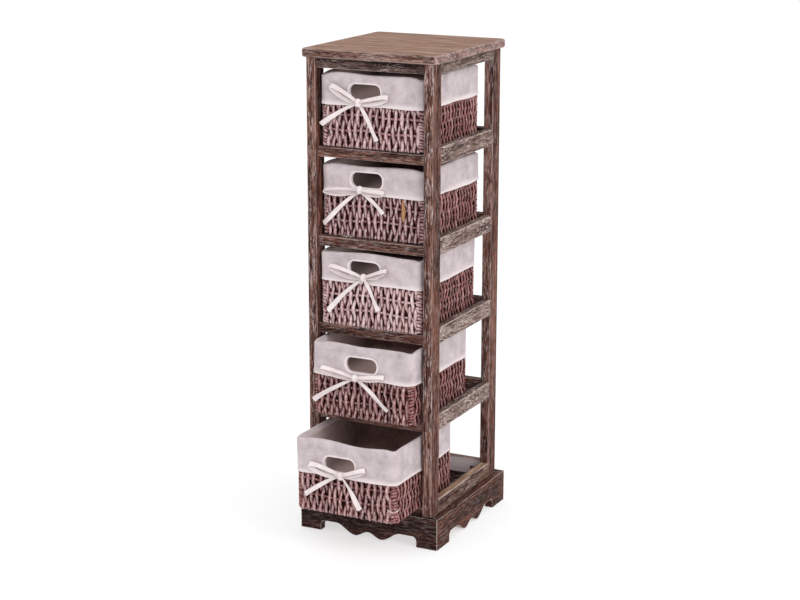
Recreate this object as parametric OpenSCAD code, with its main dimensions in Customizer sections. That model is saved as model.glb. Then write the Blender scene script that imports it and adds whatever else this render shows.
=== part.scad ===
// Narrow five-tier shelf of brushed timber with five lined wicker baskets that slide out.
// The origin is on the floor at the middle of the frame, with X to the right and Y to the back.

/* [Frame] */
// Height from the floor to the top face
shelf_h = 900; // [760:1:1100]
// Width over the outer faces of the posts
frame_w = 250; // [230:1:330]
// Depth over the outer faces of the posts
frame_d = 290; // [280:1:380]
// Width of a post, seen from the front
post_w = 18; // [14:0.5:26]
// Depth of a post, seen from the side
post_d = 33; // [26:0.5:45]
// Thickness of the rails
rail_t = 15; // [12:0.5:17]
// Height of a front rail under a basket
front_rail_h = 18; // [14:0.5:24]
// Height of the side and back rails of a tier
side_rail_h = 30; // [25:0.5:36]
// Height of the rails under the top panel
top_rail_h = 19; // [12:0.5:24]
// Width of the slope cut along each long edge of the timber
edge_cut = 1; // [0.4:0.1:2]

/* [Tiers] */
// Height of the lowest basket's seat above the floor
low_seat = 72; // [66:0.5:78]
// Room over the top basket, up to the top rail
head_gap = 7; // [4:0.5:20]
// Room over each other basket, up to the front rail above it
over_gap = 11; // [4:0.5:20]
// Width of the runner strips that carry a basket
runner_w = 16; // [13:0.5:24]
// Height of the runner strips
runner_h = 12; // [8:0.5:16]

/* [Top panel] */
// Width of the top panel
top_w = 268; // [252:1:370]
// Depth of the top panel
top_d = 300; // [292:1:420]
// Thickness of the top panel
top_t = 16; // [12:0.5:22]
// Radius of the panel's corners in plan
top_corner_r = 9; // [6:0.5:16]
// Radius of the rounding round the panel's edge
top_edge_r = 4; // [2:0.5:5.5]

/* [Plinth] */
// Height of the plinth boards
plinth_h = 59; // [50:0.5:68]
// Thickness of the plinth boards
plinth_t = 16; // [12:0.5:20]
// Distance that the front and back boards stand out past the posts
plinth_step = 8; // [4:0.5:11]
// Height of the flat arch between the feet
arch_h = 20; // [14:0.5:26]
// Half the width of the arch between the feet
arch_half_w = 99; // [90:0.5:108]
// Radius of the cove at the top of a foot's inner side
cove_r = 9; // [4:0.5:12]
// Distance of each drop's lowest point from the middle
drop_x = 27; // [18:0.5:34]
// Height of the drops above the floor
drop_z = 2; // [1:0.5:6]
// Distance from a drop's lowest point to where its outer curve ends
drop_run = 40; // [26:0.5:46]
// Height of the nick between the two drops
nick_z = 12; // [7:0.5:18]

/* [Baskets] */
// Room between a basket's weave and the posts, on each side
side_gap = 5; // [3:0.5:9]
// Room that the rails leave in front of and behind a basket
depth_gap = 6; // [5:0.5:20]
// Radius of a basket's upright corners
basket_r = 14; // [11:0.5:24]
// Thickness of the woven wall
wall_t = 6; // [4:0.5:8]
// Depth of the hollows between the strands
weave_relief = 1.6; // [0.8:0.1:2.5]
// Distance from one strand to the next
strand_w = 6.8; // [6.8:0.2:14]
// Height from one hoop of the weave to the next
hoop_pitch = 28; // [22:0.5:34]
// Thickness of the linen liner
liner_t = 1.5; // [1:0.1:2.2]
// Width of the hand slot in the front
slot_w = 62; // [45:0.5:74]
// Height of the hand slot
slot_h = 28; // [24:0.5:32]
// Width of the split in the skirt under the slot
split_w = 5; // [3:0.5:8]

/* [Liners] */
// Height of the turned-down skirt of basket 1, at the top
skirt_1 = 57; // [42:0.5:66]
// Height of the turned-down skirt of basket 2
skirt_2 = 54; // [42:0.5:66]
// Height of the turned-down skirt of basket 3
skirt_3 = 52; // [42:0.5:66]
// Height of the turned-down skirt of basket 4
skirt_4 = 58; // [42:0.5:66]
// Height of the turned-down skirt of basket 5
skirt_5 = 61; // [42:0.5:66]
// Distance from the rim of basket 1, at the top, down to the hand slot
slot_drop_1 = 18; // [8:0.5:26]
// Distance from the rim of basket 2 down to the hand slot
slot_drop_2 = 13; // [8:0.5:26]
// Distance from the rim of basket 3 down to the hand slot
slot_drop_3 = 10; // [8:0.5:26]
// Distance from the rim of basket 4 down to the hand slot
slot_drop_4 = 17; // [8:0.5:26]
// Distance from the rim of basket 5 down to the hand slot
slot_drop_5 = 24; // [8:0.5:26]
// Distance of the hand slot of basket 1, at the top, from the middle
slot_x_1 = -14; // [-20:0.5:20]
// Distance of the hand slot of basket 2 from the middle
slot_x_2 = -13; // [-20:0.5:20]
// Distance of the hand slot of basket 3 from the middle
slot_x_3 = -12; // [-20:0.5:20]
// Distance of the hand slot of basket 4 from the middle
slot_x_4 = -2; // [-20:0.5:20]
// Distance of the hand slot of basket 5 from the middle
slot_x_5 = -12; // [-20:0.5:20]

/* [Bows] */
// Height of a bow's loop
loop_h = 12; // [9:0.5:13]
// Width of the ribbon
ribbon_w = 7; // [5:0.5:9]
// Thickness of the ribbon
ribbon_t = 1.5; // [1:0.1:2]
// Radius of the knot
knot_r = 5; // [4:0.5:7]

/* [Pulled out] */
// How far basket 1, at the top, stands out from its stop
out_1 = 16; // [1:0.5:160]
// How far basket 2 stands out from its stop
out_2 = 12; // [1:0.5:160]
// How far basket 3 stands out from its stop
out_3 = 24; // [1:0.5:160]
// How far basket 4 stands out from its stop
out_4 = 57; // [1:0.5:160]
// How far basket 5, at the bottom, stands out from its stop
out_5 = 124; // [1:0.5:160]

/* [Joinery] */
// Diameter of the dowels that join rails and posts
dowel_d = 6; // [5:0.5:7]
// Depth of a dowel hole in a post
post_hole = 10; // [6:0.5:12]
// Depth of a dowel hole in a rail's end
rail_hole = 16; // [10:0.5:24]
// Thickness of the corner brackets
bracket_t = 1.5; // [1:0.1:2.5]
// Length of a bracket's leg along a rail
bracket_leg = 24; // [16:0.5:34]
// Height of the corner brackets
bracket_h = 12; // [8:0.5:14]

/* [Hidden] */
TIERS = 5;
SIDES = ["left", "right"];
ENDS = ["front", "back"];
FACES = ["front", "back", "left", "right"];

wood_colour = "#5f463d";
weave_colour = "#9a7f7d";
liner_colour = "#e4dfda";
bow_colour = "#f0ebe5";
metal_colour = "#2c2926";
dowel_colour = "#c9a878";

// Gap between pieces that fit together without touching
fit_gap = 0.3;
// Radial play of a dowel in its hole
dowel_play = 0.05;
// Space left at the bottom of each dowel hole
dowel_end_gap = 0.5;
// Length by which a cutting shape runs past a face
over = 1;
// Gap that a basket keeps from its stop when it is pushed home
stop_gap = 1;
// Steps in each curve of the plinth's outline
curve_steps = 10;
// Height of the posts' lower ends above the floor
post_foot_gap = 4;

out = [out_1, out_2, out_3, out_4, out_5];
skirt_h = [skirt_1, skirt_2, skirt_3, skirt_4, skirt_5];
slot_drop = [slot_drop_1, slot_drop_2, slot_drop_3, slot_drop_4, slot_drop_5];
slot_x = [slot_x_1, slot_x_2, slot_x_3, slot_x_4, slot_x_5];

// Each basket's bow, from the top down: the knot from the middle and the hem,
// then the tips of the loops and the ends of the tails from the knot
knots = [[-25, 6], [-25, 9], [-12, 13], [-13, 2], [-8, 5]];
left_loops = [[-55, 28], [-72, -6], [-69, 16], [-69, 13], [-63, 13]];
right_loops = [[59, 13], [49, -2], [47, 18], [59, 10], [50, 18]];
left_tails = [[-76, -44], [-76, -68], [-76, -70], [-88, -52], [-73, -47]];
right_tails = [[36, -66], [46, -40], [29, -59], [65, -54], [39, -60]];

rail_recess = plinth_t - plinth_step;
inner_half_w = frame_w / 2 - post_w;
inner_half_d = frame_d / 2 - post_d;
side_rail_x = frame_w / 2 - rail_t;
end_rail_y = frame_d / 2 - rail_recess - rail_t;
top_seat = shelf_h - top_t;
plinth_w = frame_w + 2 * plinth_t;
plinth_d = frame_d + 2 * plinth_step;

// Rise from seat to seat, and the size of a basket that has the named room on every side
tier_pitch = (top_seat - top_rail_h - head_gap + over_gap + front_rail_h - low_seat) / TIERS;
basket_w = 2 * (inner_half_w - side_gap);
basket_d = 2 * end_rail_y - depth_gap;
basket_h = tier_pitch - front_rail_h - over_gap;

function seat(tier) = low_seat + (TIERS - tier) * tier_pitch;
function rail_floor(tier) = seat(tier) - front_rail_h;

weave_h = basket_h - liner_t - fit_gap;
skirt_in = fit_gap - weave_relief;
skirt_out = skirt_in + liner_t;
function hem_z(tier) = basket_h - skirt_h[tier - 1];
function slot_z(tier) = basket_h - slot_drop[tier - 1] - slot_h / 2;
slot_r = slot_h / 2 - 2;
outline_len = 2 * (basket_w + basket_d) - 8 * basket_r + 2 * PI * basket_r;
strands = 2 * round(outline_len / strand_w / 2);
strand_step = outline_len / strands;
// How far a straight side between two strands cuts inside the rounded corner of the weave's inner face
corner_cut = (basket_r - wall_t) * (1 - cos(90 * strand_step / (PI * basket_r)));
bag_out = -wall_t - fit_gap - corner_cut;
bag_in = bag_out - liner_t;
bag_floor = wall_t + fit_gap;

// Where a basket's middle lies when it is pushed back to its stop
home_y = end_rail_y - stop_gap - basket_d / 2 - skirt_out;
function basket_y(tier) = home_y - out[tier - 1];

// Bar along Z with its long edges sloped, from its low corner
module eased_column(w, d, h) {
    c = edge_cut;
    linear_extrude(h)
        polygon([[c, 0], [w - c, 0], [w, c], [w, d - c], [w - c, d], [c, d], [0, d - c], [0, c]]);
}

// Rail along X, from its low corner
module rail_x(length, h) {
    translate([length, 0, 0])
        rotate([0, -90, 0])
            eased_column(h, rail_t, length);
}

// Rail along Y, from its low corner
module rail_y(length, h) {
    translate([0, length, 0])
        rotate([90, 0, 0])
            eased_column(rail_t, h, length);
}

// Heights of the dowels in the posts, measured to the middle of each rail
top_dowel_z = top_seat - top_rail_h / 2;
function end_dowel_z(tier, end) = rail_floor(tier) + (end == "front" ? front_rail_h : side_rail_h) / 2;
function side_dowel_z(tier) = rail_floor(tier) + side_rail_h / 2;
function side_sign(name) = name == "left" ? -1 : 1;
function end_sign(name) = name == "front" ? -1 : 1;

// Cylinder along X through a joint between a post and a front or back rail
module end_dowel(end, side, z, r, spare) {
    post_end = inner_half_w + post_hole - spare;
    rail_end = inner_half_w - rail_hole + spare;
    y = end_sign(end) * (end_rail_y + rail_t / 2);
    mirror([side == "left" ? 1 : 0, 0, 0])
        translate([rail_end, y, z])
            rotate([0, 90, 0])
                cylinder(r = r, h = post_end - rail_end, $fn = 24);
}

// Cylinder along Y through a joint between a post and a side rail
module side_dowel(end, side, z, r, spare) {
    post_end = inner_half_d + post_hole - spare;
    rail_end = inner_half_d - rail_hole + spare;
    x = side_sign(side) * (side_rail_x + rail_t / 2);
    mirror([0, end == "front" ? 1 : 0, 0])
        translate([x, rail_end, z])
            rotate([-90, 0, 0])
                cylinder(r = r, h = post_end - rail_end, $fn = 24);
}

// Every dowel at one corner, or the holes for them
module corner_dowels(end, side, r, spare) {
    end_dowel(end, side, top_dowel_z, r, spare);
    side_dowel(end, side, top_dowel_z, r, spare);
    for (t = [1:TIERS]) {
        end_dowel(end, side, end_dowel_z(t, end), r, spare);
        side_dowel(end, side, side_dowel_z(t), r, spare);
    }
}

module dowel_holes(end, side) {
    corner_dowels(end, side, dowel_d / 2 + dowel_play, 0);
}

module rail_dowels() {
    color(dowel_colour)
        for (e = ENDS)
            for (s = SIDES)
                corner_dowels(e, s, dowel_d / 2, dowel_end_gap);
}

// One post, rebated at its foot where the plinth board passes
module post(end, side) {
    x = side == "left" ? -frame_w / 2 : inner_half_w;
    y = end == "front" ? -frame_d / 2 : inner_half_d;
    rebate_y = end == "front" ? -frame_d / 2 - over : frame_d / 2 - rail_recess;
    color(wood_colour)
        difference() {
            translate([x, y, post_foot_gap])
                eased_column(post_w, post_d, top_seat - post_foot_gap);
            translate([x - over, rebate_y, 0])
                cube([post_w + 2 * over, rail_recess + over, plinth_h]);
            dowel_holes(end, side);
        }
}

// Front or back rail between two posts
module end_rail(end, z, h) {
    y = end == "front" ? -end_rail_y - rail_t : end_rail_y;
    color(wood_colour)
        difference() {
            translate([-inner_half_w, y, z])
                rail_x(2 * inner_half_w, h);
            for (s = SIDES)
                end_dowel(end, s, z + h / 2, dowel_d / 2 + dowel_play, 0);
        }
}

// Side rail between two posts, flush with their outer faces
module side_rail(side, z, h) {
    x = side == "left" ? -frame_w / 2 : side_rail_x;
    color(wood_colour)
        difference() {
            translate([x, -inner_half_d, z])
                rail_y(2 * inner_half_d, h);
            for (e = ENDS)
                side_dowel(e, side, z + h / 2, dowel_d / 2 + dowel_play, 0);
        }
}

module rail(face, z, end_h, side_h) {
    if (face == "front" || face == "back")
        end_rail(face, z, end_h);
    else
        side_rail(face, z, side_h);
}

// Pair of strips on the side rails' inner faces, level with the front rail's top
module runners(tier) {
    color(wood_colour)
        for (s = [0, 1])
            mirror([s, 0, 0])
                translate([side_rail_x - runner_w, -inner_half_d, seat(tier) - runner_h])
                    cube([runner_w, 2 * inner_half_d, runner_h]);
}

// Disc with a rounded rim, as tall as the top panel
module panel_corner() {
    r = top_corner_r;
    e = top_edge_r;
    rotate_extrude($fn = 32)
        polygon(concat(
            [[0, 0]],
            [for (a = [-90:22.5:0]) [r - e + e * cos(a), e + e * sin(a)]],
            [for (a = [0:22.5:90]) [r - e + e * cos(a), top_t - e + e * sin(a)]],
            [[0, top_t]]
        ));
}

module top_panel() {
    color(wood_colour)
        hull()
            for (x = [-1, 1])
                for (y = [-1, 1])
                    translate([x * (top_w / 2 - top_corner_r), y * (top_d / 2 - top_corner_r), top_seat])
                        panel_corner();
}

// Height on a smooth curve from one height to another, at a fraction of its run
function smooth(from, to, part) = from + (to - from) * (1 - cos(180 * part)) / 2;

// Lower edge of a plinth board from the middle to the outer end, for one half
function half_edge(half_len) = concat(
    [for (i = [0:curve_steps]) [drop_x * i / curve_steps, smooth(nick_z, drop_z, i / curve_steps)]],
    [for (i = [1:curve_steps]) [drop_x + drop_run * i / curve_steps, smooth(drop_z, arch_h, i / curve_steps)]],
    [for (a = [90:-15:0]) [arch_half_w - cove_r + cove_r * cos(a), arch_h - cove_r + cove_r * sin(a)]],
    [[arch_half_w, 0], [half_len, 0]]
);

function mirrored(points) = [for (i = [len(points) - 1:-1:1]) [-points[i][0], points[i][1]]];

// Plinth board along X with its front face outward, mitred at both ends
module plinth_board(length, face_y) {
    half_len = length / 2;
    edge = half_edge(half_len);
    intersection() {
        translate([0, -face_y + plinth_t, 0])
            rotate([90, 0, 0])
                linear_extrude(plinth_t)
                    polygon(concat(mirrored(edge), edge, [[half_len, plinth_h], [-half_len, plinth_h]]));
        translate([0, 0, -over])
            linear_extrude(plinth_h + 2 * over)
                polygon([
                    [-half_len, -face_y],
                    [half_len, -face_y],
                    [half_len - plinth_t, -face_y + plinth_t],
                    [plinth_t - half_len, -face_y + plinth_t]
                ]);
    }
}

module plinth(face) {
    turn = face == "front" ? 0 : face == "right" ? 90 : face == "back" ? 180 : 270;
    along_x = face == "front" || face == "back";
    color(wood_colour)
        rotate([0, 0, turn])
            if (along_x)
                plinth_board(plinth_w, plinth_d / 2);
            else
                plinth_board(plinth_d, plinth_w / 2);
}

// Angle plates in the inner corners of the lowest tier
module corner_brackets() {
    post_leg = end_rail_y - inner_half_d;
    z = rail_floor(TIERS) + (front_rail_h - bracket_h) / 2;
    color(metal_colour)
        for (mx = [0, 1])
            for (my = [0, 1])
                mirror([mx, 0, 0])
                    mirror([0, my, 0])
                        translate([0, 0, z]) {
                            translate([inner_half_w - bracket_leg, end_rail_y - bracket_t, 0])
                                cube([bracket_leg, bracket_t, bracket_h]);
                            translate([inner_half_w - bracket_t, end_rail_y - post_leg, 0])
                                cube([bracket_t, post_leg - bracket_t, bracket_h]);
                        }
}

// Point and outward direction at a distance along a basket's rounded outline, from the front left
function outline_spot(s) =
    let (
        a = basket_w - 2 * basket_r,
        b = basket_d - 2 * basket_r,
        q = PI * basket_r / 2,
        half = a + b + 2 * q,
        flip = s < half ? 1 : -1,
        t = s < half ? s : s - half,
        turn = t < a ? -90 : t < a + q ? -90 + 90 * (t - a) / q : t < a + q + b ? 0 : 90 * (t - a - q - b) / q,
        x = (t < a ? t - a / 2 : a / 2) + (t < a ? 0 : basket_r * cos(turn)),
        y = t < a + q ? -b / 2 + basket_r * sin(turn)
            : t < a + q + b ? -b / 2 + t - a - q
            : b / 2 + basket_r * sin(turn)
    )
    [flip * x, flip * y, flip * cos(turn), flip * sin(turn)];

function hoops(tier) = round(hem_z(tier) / hoop_pitch);
function hoop_rise(tier) = hem_z(tier) / hoops(tier);

// One closed ring of points at a height, set out from the outline by a distance per strand
function ring(z, out_even, out_odd) = [
    for (i = [0:strands - 1])
        let (p = outline_spot(outline_len * i / strands), o = i % 2 == 0 ? out_even : out_odd)
        [p[0] + o * p[2], p[1] + o * p[3], z]
];

// Columns of the weave between which the hand slot is left open
slot_side = slot_w / 2 + over;
front_run = basket_w / 2 - basket_r;
function slot_first(tier) = floor((front_run + slot_x[tier - 1] - slot_side) / strand_step);
function slot_last(tier) = ceil((front_run + slot_x[tier - 1] + slot_side) / strand_step);
function slot_low_z(tier) = slot_z(tier) - slot_h / 2 - over;
function slot_high_z(tier) = slot_z(tier) + slot_h / 2 + over;

function weave_rings(tier) = concat(
    ring(0, -weave_relief, -weave_relief),
    [for (j = [1:hoops(tier) - 1]) each ring(
        j * hoop_rise(tier),
        j % 2 == 0 ? 0 : -weave_relief,
        j % 2 == 0 ? -weave_relief : 0
    )],
    [for (z = [hem_z(tier), slot_low_z(tier), slot_high_z(tier), weave_h])
        each ring(z, -weave_relief, -weave_relief)],
    [for (z = [weave_h, slot_high_z(tier), slot_low_z(tier), wall_t]) each ring(z, -wall_t, -wall_t)],
    [[0, 0, 0], [0, 0, wall_t]]
);

function spot(j, i) = j * strands + i % strands;
function quad(a, b, c, d) = [[a, b, c], [a, c, d]];

// Two triangles per cell between rings that follow each other, split towards the raised strands
function weave_faces(tier) =
    let (
        ring_count = hoops(tier) + 8,
        outer_low = hoops(tier) + 1,
        outer_high = outer_low + 1,
        inner_high = outer_low + 4,
        inner_low = inner_high + 1,
        first = slot_first(tier),
        last = slot_last(tier),
        bottom_middle = ring_count * strands,
        floor_middle = bottom_middle + 1
    )
    concat(
        [for (i = [0:strands - 1]) [bottom_middle, spot(0, i), spot(0, i + 1)]],
        [for (j = [0:ring_count - 2]) for (i = [0:strands - 1])
            if (!((j == outer_low || j == inner_high) && i >= first && i < last))
                each ((i + j) % 2 == 0
                    ? quad(spot(j, i), spot(j + 1, i), spot(j + 1, i + 1), spot(j, i + 1))
                    : quad(spot(j + 1, i), spot(j + 1, i + 1), spot(j, i + 1), spot(j, i)))
        ],
        [for (i = [first:last - 1]) each concat(
            quad(spot(outer_low, i), spot(inner_low, i), spot(inner_low, i + 1), spot(outer_low, i + 1)),
            quad(spot(outer_high, i), spot(outer_high, i + 1), spot(inner_high, i + 1), spot(inner_high, i))
        )],
        quad(
            spot(outer_low, first),
            spot(outer_high, first),
            spot(inner_high, first),
            spot(inner_low, first)
        ),
        quad(
            spot(inner_low, last),
            spot(inner_high, last),
            spot(outer_high, last),
            spot(outer_low, last)
        ),
        [for (i = [0:strands - 1]) [floor_middle, spot(ring_count - 1, i + 1), spot(ring_count - 1, i)]]
    );

// Rounded rectangle in plan, set out from the basket's outline by a distance
module basket_plan(set_out) {
    w = basket_w + 2 * set_out;
    d = basket_d + 2 * set_out;
    r = basket_r + set_out;
    square([w - 2 * r, d], center = true);
    square([w, d - 2 * r], center = true);
    for (x = [-1, 1])
        for (y = [-1, 1])
            translate([x * (w / 2 - r), y * (d / 2 - r)])
                circle(r = r, $fn = 48);
}

// Hand slot through both layers of linen at the front
module hand_slot(tier) {
    through = skirt_out - bag_in + 2 * over;
    translate([slot_x[tier - 1], -basket_d / 2 - bag_in + over, slot_z(tier)])
        rotate([90, 0, 0])
            linear_extrude(through) {
                square([slot_w - 2 * slot_r, slot_h], center = true);
                square([slot_w, slot_h - 2 * slot_r], center = true);
                for (x = [-1, 1])
                    for (y = [-1, 1])
                        translate([x * (slot_w / 2 - slot_r), y * (slot_h / 2 - slot_r)])
                            circle(r = slot_r, $fn = 32);
            }
}

// Moves a basket's pieces from its own origin, under its middle, to its seat
module on_tier(tier) {
    translate([0, basket_y(tier), seat(tier) + fit_gap])
        children();
}

module weave(tier) {
    color(weave_colour)
        on_tier(tier)
            polyhedron(points = weave_rings(tier), faces = weave_faces(tier));
}

// Inner bag, the fold over the rim and the skirt, in one piece of linen
module liner(tier) {
    color(liner_colour)
        on_tier(tier)
            difference() {
                translate([0, 0, bag_floor])
                    linear_extrude(basket_h - bag_floor)
                        basket_plan(skirt_out);
                translate([0, 0, bag_floor + liner_t])
                    linear_extrude(basket_h)
                        basket_plan(bag_in);
                difference() {
                    linear_extrude(basket_h - liner_t)
                        basket_plan(skirt_in);
                    linear_extrude(basket_h)
                        basket_plan(bag_out);
                }
                difference() {
                    linear_extrude(hem_z(tier))
                        basket_plan(skirt_out + over);
                    linear_extrude(basket_h)
                        basket_plan(skirt_in);
                }
                hand_slot(tier);
                translate([knots[tier - 1][0] - split_w / 2, -basket_d / 2 - over, hem_z(tier) - over])
                    cube([split_w, over - skirt_in, slot_z(tier) - hem_z(tier) + over]);
            }
}

// Leaf-shaped outline of a ribbon loop, from the knot outward
function leaf(length, h) = concat(
    [for (a = [0:15:180]) [length * (1 - cos(a)) / 2, h / 2 * sin(a)]],
    [for (a = [165:-15:15]) [length * (1 - cos(a)) / 2, -h / 2 * sin(a)]]
);

// Open loop of ribbon from the knot to its tip
module ribbon_loop(tip) {
    ribbon_edge = ribbon_w / 3;
    rotate(atan2(tip[1], tip[0]))
        difference() {
            polygon(leaf(norm(tip), loop_h));
            translate([2 * ribbon_edge, 0])
                polygon(leaf(norm(tip) - 3 * ribbon_edge, loop_h - 2 * ribbon_edge));
        }
}

// Straight end of ribbon from the knot
module ribbon_tail(end) {
    side = ribbon_w / 2 * [-end[1], end[0]] / norm(end);
    polygon([-side, end - side, end + side, side]);
}

// Ribbon tied over the split, lying on the skirt
module bow(tier) {
    n = tier - 1;
    face_y = -basket_d / 2 - skirt_out - fit_gap;
    color(bow_colour)
        on_tier(tier)
            translate([knots[n][0], face_y, hem_z(tier) + knots[n][1]])
                rotate([90, 0, 0]) {
                    linear_extrude(ribbon_t) {
                        ribbon_loop(left_loops[n]);
                        ribbon_loop(right_loops[n]);
                        ribbon_tail(left_tails[n]);
                        ribbon_tail(right_tails[n]);
                    }
                    cylinder(r = knot_r, h = 2 * ribbon_t, $fn = 32);
                }
}

top_panel();
for (e = ENDS)
    for (s = SIDES)
        post(e, s);
for (f = FACES) {
    rail(f, top_seat - top_rail_h, top_rail_h, top_rail_h);
    plinth(f);
}
for (t = [1:TIERS]) {
    for (f = FACES)
        rail(f, rail_floor(t), f == "front" ? front_rail_h : side_rail_h, side_rail_h);
    runners(t);
    weave(t);
    liner(t);
    bow(t);
}
rail_dowels();
corner_brackets();
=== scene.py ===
# Basket shelf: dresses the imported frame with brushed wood, woven wicker, linen liners and ribbon bows
import math

import bpy
import numpy as np
from mathutils import Matrix, Vector


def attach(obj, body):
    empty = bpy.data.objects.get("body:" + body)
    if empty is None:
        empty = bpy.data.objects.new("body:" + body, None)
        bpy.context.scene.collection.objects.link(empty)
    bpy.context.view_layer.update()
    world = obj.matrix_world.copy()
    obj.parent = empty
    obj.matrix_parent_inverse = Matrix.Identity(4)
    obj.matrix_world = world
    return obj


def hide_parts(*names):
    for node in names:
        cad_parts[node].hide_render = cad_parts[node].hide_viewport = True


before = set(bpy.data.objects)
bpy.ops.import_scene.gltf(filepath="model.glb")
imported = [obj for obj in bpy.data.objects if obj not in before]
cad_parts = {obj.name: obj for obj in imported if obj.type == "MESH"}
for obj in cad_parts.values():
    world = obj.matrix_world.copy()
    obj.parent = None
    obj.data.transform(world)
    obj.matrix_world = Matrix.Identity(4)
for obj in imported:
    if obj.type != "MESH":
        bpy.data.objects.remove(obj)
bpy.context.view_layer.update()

TAU = 2 * math.pi
MM = 0.001
TIERS = (1, 2, 3, 4, 5)

# Camera, solved from the frame's corners in the photograph
CAMERA_PLACE = (1.5242, -3.1047, 1.3035)
CAMERA_YAW = 0.4590
CAMERA_PITCH = 0.2498
CAMERA_ROLL = 0.0014
FOCAL_PX = 1911.2
IMAGE_W = 800
SENSOR_MM = 36.0

cam_data = bpy.data.cameras.new("camera")
cam_data.sensor_width = SENSOR_MM
cam_data.lens = FOCAL_PX / IMAGE_W * SENSOR_MM
cam = bpy.data.objects.new("camera", cam_data)
bpy.context.scene.collection.objects.link(cam)
forward = Vector((
    -math.sin(CAMERA_YAW) * math.cos(CAMERA_PITCH),
    math.cos(CAMERA_YAW) * math.cos(CAMERA_PITCH),
    -math.sin(CAMERA_PITCH),
))
level = Vector((math.cos(CAMERA_YAW), math.sin(CAMERA_YAW), 0))
upward = level.cross(forward)
right = math.cos(CAMERA_ROLL) * level + math.sin(CAMERA_ROLL) * upward
up = -math.sin(CAMERA_ROLL) * level + math.cos(CAMERA_ROLL) * upward
turn = Matrix((right, up, -forward)).transposed()
cam.matrix_world = Matrix.Translation(CAMERA_PLACE) @ turn.to_4x4()
bpy.context.scene.camera = cam


# Shader helpers
class Shader:
    """Builds one procedural material, node by node."""

    def __init__(self, name):
        self.material = bpy.data.materials.new(name)
        self.material.use_nodes = True
        self.tree = self.material.node_tree
        self.base = self.tree.nodes["Principled BSDF"]

    def put(self, socket, value):
        """Links a socket to another one, or sets its constant value."""
        if isinstance(value, bpy.types.NodeSocket):
            self.tree.links.new(value, socket)
        elif isinstance(value, (tuple, list)) and len(value) == 3 and socket.type == "RGBA":
            socket.default_value = (*value, 1)
        else:
            socket.default_value = value

    def node(self, kind, inputs=None, **settings):
        made = self.tree.nodes.new("ShaderNode" + kind)
        for key, value in settings.items():
            setattr(made, key, value)
        for key, value in (inputs or {}).items():
            self.put(made.inputs[key], value)
        return made

    def place(self):
        """Coordinates of the piece's own space."""
        return self.node("TexCoord").outputs["Object"]

    def attribute(self, name):
        """Value that the mesh carries at each of its points."""
        return self.node("Attribute", attribute_name=name).outputs["Fac"]

    def math(self, operation, *values, clamp=False):
        made = self.node("Math", dict(enumerate(values)), operation=operation, use_clamp=clamp)
        return made.outputs[0]

    def vector(self, operation, *values):
        return self.node("VectorMath", dict(enumerate(values)), operation=operation).outputs[0]

    def span(self, value, low, high, to_low=0.0, to_high=1.0):
        """Smooth step from to_low to to_high as the value goes from low to high."""
        made = self.node(
            "MapRange",
            {"Value": value, "From Min": low, "From Max": high, "To Min": to_low, "To Max": to_high},
            interpolation_type="SMOOTHSTEP",
        )
        return made.outputs["Result"]

    def mix(self, share, first, second, blend="MIX"):
        """Colour mix; the node keeps its colours in inputs 6 and 7 and its result in output 2."""
        made = self.node("Mix", data_type="RGBA", blend_type=blend)
        self.put(made.inputs[0], share)
        self.put(made.inputs[6], first)
        self.put(made.inputs[7], second)
        return made.outputs[2]

    def ramp(self, value, *stops):
        """Colour ramp through stops of a place and a linear colour."""
        made = self.node("ValToRGB", {"Fac": value})
        points = made.color_ramp.elements
        while len(points) < len(stops):
            points.new(0.5)
        for point, (place, colour) in zip(points, stops):
            point.position = place
            point.color = (*colour, 1)
        return made.outputs["Color"]

    def noise(self, vector, scale, detail=3.0, rough=0.55, shift=0.0):
        """Cloudy noise; the shift picks another pattern."""
        made = self.node(
            "TexNoise",
            {"Vector": vector, "W": shift, "Scale": scale, "Detail": detail, "Roughness": rough},
            noise_dimensions="4D",
        )
        return made.outputs["Fac"]

    def streaks(self, vector, factors, detail, rough, shift=0.0):
        """Noise drawn out along the axes that have the smaller factors."""
        return self.noise(self.vector("MULTIPLY", vector, factors), 1.0, detail, rough, shift)

    def bump(self, height, strength, distance):
        made = self.node("Bump", {"Height": height, "Strength": strength, "Distance": distance})
        self.put(self.base.inputs["Normal"], made.outputs["Normal"])

    def finish(self, **values):
        """Sets inputs of the surface shader, named with underscores for spaces."""
        for key, value in values.items():
            self.put(self.base.inputs[key.replace("_", " ")], value)
        return self.material


def srgb(code):
    """Linear colour of a six-digit code."""
    parts = [int(code[i:i + 2], 16) / 255 for i in (0, 2, 4)]
    return tuple(c / 12.92 if c <= 0.04045 else ((c + 0.055) / 1.055) ** 2.4 for c in parts)


# Materials
GROOVE_COLOUR = srgb("1c0b08")
PIGMENT_COLOUR = srgb("d0bebc")
WORN_COLOUR = srgb("d2c0ba")
GRAIN_SPREAD = 40.0
BEND_SIZE = 0.009
EDGE_R = 0.0016


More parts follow.
